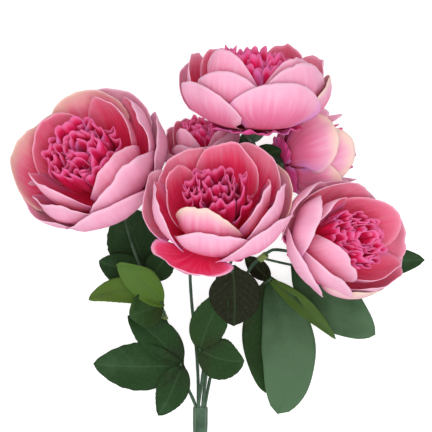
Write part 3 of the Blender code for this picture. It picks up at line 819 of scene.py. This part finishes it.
def collar_rings(centre, along, inner):
    """Rings of the short sleeve round the stem, from its bore over its rounded ends and back."""
    outer = inner + COLLAR_WALL * 0.75
    bore = STEM_RADIUS + CLEARANCE
    across = along.orthogonal().normalized()
    round_stem = circle(across, along.cross(across), COLLAR_FINE_SIDES)
    profile = ((bore, -0.5), (outer * 0.9, -0.5), (outer, -0.44), (outer * 0.96, 0.0), (outer, 0.44),
               (outer * 0.9, 0.5), (bore, 0.5), (bore, -0.5))
    return np.array([np.array(centre + along * COLLAR_LENGTH * place - BOTTOM_MIDDLE) + radius * round_stem
                     for radius, place in profile])


def make_leaf_spray(number, spray, leaf_cloths, plastic):
    bloom = next(bloom for bloom in BLOOMS if bloom.name == spray.bloom)
    route = stem_route(bloom)
    start, end = route[spray.segment], route[spray.segment + 1]
    centre, along = (start + end) / 2, (end - start).normalized()
    spray_joint = Vector(spray.joint)
    joint = centre + spray_joint
    outward = (spray_joint - along * spray_joint.dot(along)).normalized()
    inner = (STEM_RADIUS + CLEARANCE) / math.cos(math.pi / COLLAR_SIDES)
    root = centre + outward * (inner + CLEARANCE / 2)
    knee = root + outward * PETIOLE_LEAD
    blades = Sheets()
    for index, leaflet in enumerate(spray.leaflets):
        random = np.random.default_rng(SEEDS["leaf"] + 10 * number + index)
        blades.add(*leaflet_grid(joint, leaflet, random))
    mesh = blades.mesh(spray.name, weld=False)
    add_piece(f"{spray.name}_cloth", mesh, leaf_cloths, spray.name, LEAF_CLOTH)
    chosen = [root, knee, knee.lerp(joint, 0.5) + outward * STALK_RISE, joint,
              joint + (joint - knee).normalized() * STALK_OVERRUN]
    radii = []
    for index in range(STALK_STEPS + 1):
        tapering = max(index - STALK_STEPS + STALK_TAPER_STEPS, 0) / STALK_TAPER_STEPS
        radii.append(PETIOLE_RADIUS * (1.0 - STALK_TAPER * tapering))
    stalk = Sheets()
    stalk.add_rings(tube(smooth_route(chosen, STALK_STEPS), radii, STALK_SIDES))
    stalk.add_rings(collar_rings(centre, along, inner), special=1.0)
    mesh = stalk.mesh(f"{spray.name}_stalk_fine")
    add_piece(f"{spray.name}_stalk", mesh, [plastic], spray.name)


# Materials

# Noise waves a metre across and along the cloth, and how far a petal's own number shifts them
STREAKS = (330.0, 22.0, 9.0)
CREASES = (150.0, 12.0)
CREASE_DEPTH = 0.0011
PETAL_WEAVE_DEPTH = 0.00003
LEAF_VEIN_DEPTH = 0.0004
LEAF_WEAVE_DEPTH = 0.00004
MIDRIB = (0.0011, 0.0003)
PLASTIC_DEPTHS = (0.0005, 0.00008)
LILAC = (0.70, 0.24, 0.64)
CREAM = (0.93, 0.74, 0.56)
RUFFLE_RIM = (0.90, 0.55)
RUFFLE_DEEP = (0.50, 0.004, 0.06)


@dataclass
class PetalLook:
    """One side of the petals: its colours from root to rim, and how far along each one changes.

    veins and rim are how strongly these show, and deep is the dark colour of a loose ruffle.
    """

    name: str
    root: tuple
    middle: tuple
    tip: tuple
    edge: tuple
    spread: tuple = (0.10, 0.50, 0.95)
    veins: float = 0.10
    rim: tuple = (0.94, 0.30)
    deep: tuple = ()


PETAL_LOOKS = (
    PetalLook("guard_outside", (0.79, 0.050, 0.19), (0.82, 0.185, 0.36), (0.89, 0.45, 0.62),
              (0.95, 0.72, 0.84), spread=(0.10, 0.50, 0.98)),
    PetalLook("guard_inside", (0.90, 0.010, 0.09), (0.96, 0.05, 0.19), (0.97, 0.36, 0.51),
              (0.97, 0.68, 0.78), spread=(0.22, 0.58, 0.98), veins=0.06),
    PetalLook("outer_guard_inside", (0.92, 0.015, 0.11), (0.97, 0.12, 0.28), (0.97, 0.52, 0.66),
              (0.97, 0.75, 0.84), spread=(0.14, 0.44, 0.84), veins=0.06),
    PetalLook("cup_outside", (0.79, 0.045, 0.17), (0.85, 0.165, 0.33), (0.91, 0.44, 0.61),
              (0.94, 0.65, 0.78), spread=(0.22, 0.60, 1.00)),
    PetalLook("cup_inside", (0.88, 0.010, 0.08), (0.95, 0.04, 0.16), (0.97, 0.26, 0.42),
              (0.97, 0.60, 0.71), spread=(0.22, 0.60, 1.00), veins=0.06),
    PetalLook("ruffle_outside", (0.62, 0.006, 0.06), (0.82, 0.012, 0.13), (0.91, 0.05, 0.27),
              (0.90, 0.30, 0.62), (0.55, 0.85, 1.08), 0.08, RUFFLE_RIM, RUFFLE_DEEP),
    PetalLook("ruffle_inside", (0.62, 0.006, 0.06), (0.82, 0.012, 0.12), (0.91, 0.05, 0.25),
              (0.92, 0.32, 0.60), (0.55, 0.85, 1.08), 0.08, RUFFLE_RIM, RUFFLE_DEEP),
    PetalLook("sepal_outside", (0.62, 0.02, 0.15), (0.72, 0.045, 0.25), (0.80, 0.10, 0.36),
              (0.84, 0.22, 0.46)),
)
PETAL_SIDES = {
    "outer_guard": ("guard_outside", "outer_guard_inside"),
    "guard": ("guard_outside", "guard_inside"),
    "cup": ("cup_outside", "cup_inside"),
    "ruffle": ("ruffle_outside", "ruffle_inside"),
    "sepal": ("sepal_outside", "sepal_outside"),
}


class Paint:
    """Shader nodes of one material, built up a call at a time."""

    def __init__(self, name):
        self.material = bpy.data.materials.new(name)
        self.material.use_nodes = True
        self.tree = self.material.node_tree
        self.shader = self.tree.nodes["Principled BSDF"]

    def put(self, socket, value):
        if isinstance(value, bpy.types.NodeSocket):
            self.tree.links.new(value, socket)
        elif isinstance(value, tuple) and len(value) == 3 and socket.type == "RGBA":
            socket.default_value = (*value, 1.0)
        else:
            socket.default_value = value

    def node(self, kind, output=0, inputs=(), **settings):
        node = self.tree.nodes.new(kind)
        for name, value in settings.items():
            setattr(node, name, value)
        for key, value in dict(inputs).items():
            self.put(node.inputs[key], value)
        return node.outputs[output]

    def math(self, operation, first, second=0.0):
        return self.node("ShaderNodeMath", inputs={0: first, 1: second}, operation=operation)

    def times(self, first, second):
        return self.math("MULTIPLY", first, second)

    def span(self, value, low, high, start=0.0, end=1.0):
        return self.node("ShaderNodeMapRange", inputs={0: value, 1: low, 2: high, 3: start, 4: end},
                         interpolation_type="SMOOTHSTEP")

    def mix(self, share, first, second):
        inputs = {0: share, 6: first, 7: second}
        return self.node("ShaderNodeMix", output=2, inputs=inputs, data_type="RGBA")

    def noise(self, vector, scale, detail, roughness):
        return self.node("ShaderNodeTexNoise", inputs={
            "Vector": vector, "Scale": scale, "Detail": detail, "Roughness": roughness})

    def marks(self):
        color = self.node("ShaderNodeAttribute", attribute_name="marks")
        alpha = self.node("ShaderNodeAttribute", output=3, attribute_name="marks")
        split = self.tree.nodes.new("ShaderNodeSeparateColor")
        self.put(split.inputs[0], color)
        return (*split.outputs[:3], alpha)

    def cloth(self):
        vector = self.node("ShaderNodeAttribute", output=1, attribute_name="cloth")
        split = self.tree.nodes.new("ShaderNodeSeparateXYZ")
        self.put(split.inputs[0], vector)
        return split.outputs[0], split.outputs[1]

    def vector(self, x, y, z):
        return self.node("ShaderNodeCombineXYZ", inputs={0: x, 1: y, 2: z})

    def weave(self, u, v, thread):
        """Height of a plain weave whose threads lie that far apart."""
        turns = 2 * math.pi / thread
        return self.times(self.math("SINE", self.times(u, turns)), self.math("SINE", self.times(v, turns)))

    def bump(self, height, distance, strength, normal=None):
        inputs = {"Height": height, "Distance": distance, "Strength": strength}
        if normal is not None:
            inputs["Normal"] = normal
        return self.node("ShaderNodeBump", inputs=inputs)

    def finish(self, **values):
        for name, value in values.items():
            self.put(self.shader.inputs[name.replace("_", " ")], value)
        return self.material


def petal_cloth(look):
    paint = Paint(look.name)
    share, side, tint, special = paint.marks()
    u, v = paint.cloth()
    place = paint.node("ShaderNodeTexCoord", output=3)
    own = paint.times(tint, STREAKS[2])
    long = paint.vector(paint.times(u, STREAKS[0]), paint.times(v, STREAKS[1]), own)
    streaks = paint.noise(long, 1.0, 4.0, 0.6)
    blotch = paint.noise(place, 38.0, 3.0, 0.5)
    low, high, end = look.spread
    drift = paint.math("ADD", share, paint.times(paint.math("SUBTRACT", streaks, 0.5), 0.36))
    colour = paint.mix(paint.span(drift, low, high), look.root, look.middle)
    colour = paint.mix(paint.span(drift, high, end), colour, look.tip)
    colour = paint.mix(paint.span(streaks, 0.52, 0.72, 0.0, look.veins), colour, look.edge)
    colour = paint.mix(paint.span(blotch, 0.40, 0.75, 0.0, 0.22), colour, look.middle)
    near_edge = paint.math("MAXIMUM", share, paint.times(side, 0.98))
    colour = paint.mix(paint.span(near_edge, look.rim[0], 1.0, 0.0, look.rim[1]), colour, look.edge)
    violet = paint.times(paint.span(side, 0.62, 1.0), paint.span(tint, 0.25, 0.60))
    violet = paint.times(violet, paint.span(paint.math("ADD", share, blotch), 0.70, 1.05))
    colour = paint.mix(paint.times(violet, 0.72), colour, LILAC)
    if look.deep:
        inner = paint.times(special, paint.span(drift, 1.00, 0.84, 0.15, 0.85))
        colour = paint.mix(inner, colour, look.deep)
    else:
        upper = paint.math("ADD", share, paint.times(blotch, 0.35))
        creamy = paint.times(special, paint.span(upper, 0.98, 1.20))
        colour = paint.mix(paint.times(creamy, 0.75), colour, CREAM)
    lengthwise = paint.vector(paint.times(u, CREASES[0]), paint.times(v, CREASES[1]), tint)
    creases = paint.noise(lengthwise, 1.0, 3.0, 0.5)
    normal = paint.bump(creases, CREASE_DEPTH, 0.55)
    normal = paint.bump(paint.weave(u, v, PETAL_THREAD), PETAL_WEAVE_DEPTH, 0.55, normal)
    rough = paint.span(blotch, 0.2, 0.8, 0.70, 0.90)
    return paint.finish(Base_Color=colour, Roughness=rough, Normal=normal, Sheen_Weight=0.04,
                        Sheen_Roughness=0.5, Specular_IOR_Level=0.12)


def leaf_cloth(name, painted_shade, deep, pale, vein, yellow):
    paint = Paint(name)
    share, side, tone, light = paint.marks()
    u, v = paint.cloth()
    place = paint.node("ShaderNodeTexCoord", output=3)
    blotch = paint.noise(place, 55.0, 4.0, 0.55)
    fine = paint.noise(place, 420.0, 2.0, 0.6)
    drift = paint.math("ADD", tone, paint.times(paint.math("SUBTRACT", blotch, 0.5), 0.7))
    # Painted sheen: brighter leaves are painted lighter toward the tip and a little darker toward the edges.
    glow = paint.times(paint.times(tone, paint.math("SUBTRACT", share, 0.30)), 0.9)
    glow = paint.math("SUBTRACT", glow, paint.times(side, 0.12))
    drift = paint.math("ADD", drift, glow)
    # Painted light: as the tone rises the colour runs from the painted shade colour through deep to pale,
    # which is painted sheen.
    colour = paint.mix(paint.span(drift, 0.0, 0.45), painted_shade, deep)
    colour = paint.mix(paint.span(drift, 0.45, 1.30), colour, pale)
    colour = paint.mix(light, colour, yellow)
    slant = paint.math("SUBTRACT", v, paint.times(paint.math("ABSOLUTE", u), VEIN_SLANT))
    wave = paint.math("SINE", paint.times(slant, 2 * math.pi / VEIN_PITCH))
    lines = paint.span(wave, 0.80, 1.0)
    midrib = paint.span(paint.math("ABSOLUTE", u), *MIDRIB)
    veins = paint.math("MAXIMUM", paint.times(lines, 0.30), midrib)
    colour = paint.mix(paint.times(veins, 0.22), colour, vein)
    colour = paint.mix(paint.span(fine, 0.45, 0.75, 0.0, 0.12), colour, vein)
    normal = paint.bump(veins, LEAF_VEIN_DEPTH, 0.4)
    normal = paint.bump(paint.weave(u, v, LEAF_THREAD), LEAF_WEAVE_DEPTH, 0.7, normal)
    rough = paint.span(blotch, 0.2, 0.8, 0.48, 0.66)
    return paint.finish(Base_Color=colour, Roughness=rough, Normal=normal, Sheen_Weight=0.01,
                        Sheen_Roughness=0.45, Specular_IOR_Level=0.12)


def moulded_plastic(name, dark, pale, sleeve):
    paint = Paint(name)
    _, _, _, special = paint.marks()
    place = paint.node("ShaderNodeTexCoord", output=3)
    blotch = paint.noise(place, 90.0, 4.0, 0.6)
    fine = paint.noise(place, 900.0, 2.0, 0.5)
    colour = paint.mix(paint.span(blotch, 0.35, 0.70), dark, pale)
    colour = paint.mix(special, colour, sleeve)
    normal = paint.bump(blotch, PLASTIC_DEPTHS[0], 0.35)
    normal = paint.bump(fine, PLASTIC_DEPTHS[1], 0.5, normal)
    rough = paint.span(fine, 0.3, 0.7, 0.30, 0.46)
    return paint.finish(Base_Color=colour, Roughness=rough, Normal=normal, Specular_IOR_Level=0.35)


# Scene

def seen_by(tree, *rays):
    """1 where the light path is any of these kinds of ray, and else 0."""
    path = tree.nodes.new("ShaderNodeLightPath")
    seen = path.outputs[rays[0]]
    for ray in rays[1:]:
        either = tree.nodes.new("ShaderNodeMath")
        either.operation = "MAXIMUM"
        tree.links.new(seen, either.inputs[0])
        tree.links.new(path.outputs[ray], either.inputs[1])
        seen = either.outputs[0]
    return seen


def make_stage():
    """A plain floor whose glow only the camera and reflections see, so that it shows white."""
    mesh = bpy.data.meshes.new("floor")
    corners = [(-FLOOR_REACH, -FLOOR_REACH), (FLOOR_REACH, -FLOOR_REACH), (FLOOR_REACH, FLOOR_REACH),
               (-FLOOR_REACH, FLOOR_REACH)]
    mesh.from_pydata([(x, y, -FLOOR_DROP) for x, y in corners], [], [(0, 1, 2, 3)])
    floor = bpy.data.objects.new("floor", mesh)
    bpy.context.scene.collection.objects.link(floor)
    material = bpy.data.materials.new("floor_white")
    material.use_nodes = True
    tree = material.node_tree
    shader = tree.nodes["Principled BSDF"]
    shader.inputs["Base Color"].default_value = (FLOOR_WHITE, FLOOR_WHITE, FLOOR_WHITE, 1.0)
    shader.inputs["Roughness"].default_value = 0.9
    shader.inputs["Specular IOR Level"].default_value = 0.0
    level = tree.nodes.new("ShaderNodeMath")
    level.operation = "MULTIPLY"
    level.inputs[1].default_value = FLOOR_GLOW
    seen = seen_by(tree, "Is Camera Ray", "Is Glossy Ray", "Is Transmission Ray")
    tree.links.new(seen, level.inputs[0])
    shader.inputs["Emission Color"].default_value = (1.0, 1.0, 1.0, 1.0)
    tree.links.new(level.outputs[0], shader.inputs["Emission Strength"])
    mesh.materials.append(material)


def make_light(name, place, target, size, energy):
    lamp = bpy.data.lights.new(name, "AREA")
    lamp.shape = "DISK"
    lamp.size = size
    lamp.energy = energy
    obj = bpy.data.objects.new(name, lamp)
    obj.location = place
    obj.rotation_euler = (Vector(place) - Vector(target)).to_track_quat("Z", "Y").to_euler()
    bpy.context.scene.collection.objects.link(obj)


def make_world():
    """Even white light, a little brighter where the camera sees it."""
    world = bpy.data.worlds.new("studio")
    bpy.context.scene.world = world
    world.use_nodes = True
    tree = world.node_tree
    background = tree.nodes["Background"]
    strength = tree.nodes.new("ShaderNodeMapRange")
    strength.inputs["To Min"].default_value = WORLD_LIGHT
    strength.inputs["To Max"].default_value = WORLD_SEEN
    tree.links.new(seen_by(tree, "Is Camera Ray", "Is Glossy Ray"), strength.inputs["Value"])
    background.inputs["Color"].default_value = (1.0, 1.0, 1.0, 1.0)
    tree.links.new(strength.outputs["Result"], background.inputs["Strength"])


def make_camera():
    data = bpy.data.cameras.new("camera")
    camera = bpy.data.objects.new("camera", data)
    bpy.context.scene.collection.objects.link(camera)
    camera.location = (VIEW_MIDDLE.x - BOTTOM_MIDDLE.x, VIEW_MIDDLE.y - BOTTOM_MIDDLE.y, VIEW_HEIGHT)
    data.sensor_width = SENSOR_WIDTH
    data.angle = 2 * math.atan(VIEW_WIDTH / 2 / (VIEW_HEIGHT - VIEW_MIDDLE.z))
    data.clip_start, data.clip_end = CLIP
    bpy.context.scene.camera = camera


def main():
    bpy.context.scene.view_settings.view_transform = "Standard"
    make_world()
    make_stage()
    make_camera()
    for lamp in LAMPS:
        make_light(*lamp)
    petals = {look.name: petal_cloth(look) for look in PETAL_LOOKS}
    cloths = {look: [petals[side] for side in sides] for look, sides in PETAL_SIDES.items()}
    # Each leaf cloth's first colour is painted shade and its third, pale, is painted sheen.
    leaf_top = leaf_cloth("leaf_upper", (0.011, 0.012, 0.004), (0.014, 0.046, 0.011), (0.082, 0.158, 0.082),
                          (0.066, 0.132, 0.055), (0.093, 0.180, 0.022))
    leaf_under = leaf_cloth("leaf_underside", (0.04, 0.08, 0.03), (0.07, 0.14, 0.055), (0.10, 0.19, 0.08),
                            (0.15, 0.25, 0.13), (0.11, 0.20, 0.03))
    plastic = moulded_plastic("stem_plastic", dark=(0.020, 0.063, 0.028), pale=(0.055, 0.125, 0.066),
                              sleeve=(0.22, 0.30, 0.08))
    for number, bloom in enumerate(BLOOMS):
        make_bloom(number, bloom, cloths)
        make_calyx(bloom, plastic)
        make_stem(number, bloom, plastic)
    make_handle(plastic)
    for number, spray in enumerate(LEAF_SPRAYS):
        make_leaf_spray(number, spray, [leaf_top, leaf_under], plastic)


main()
bpy.context.view_layer.update()
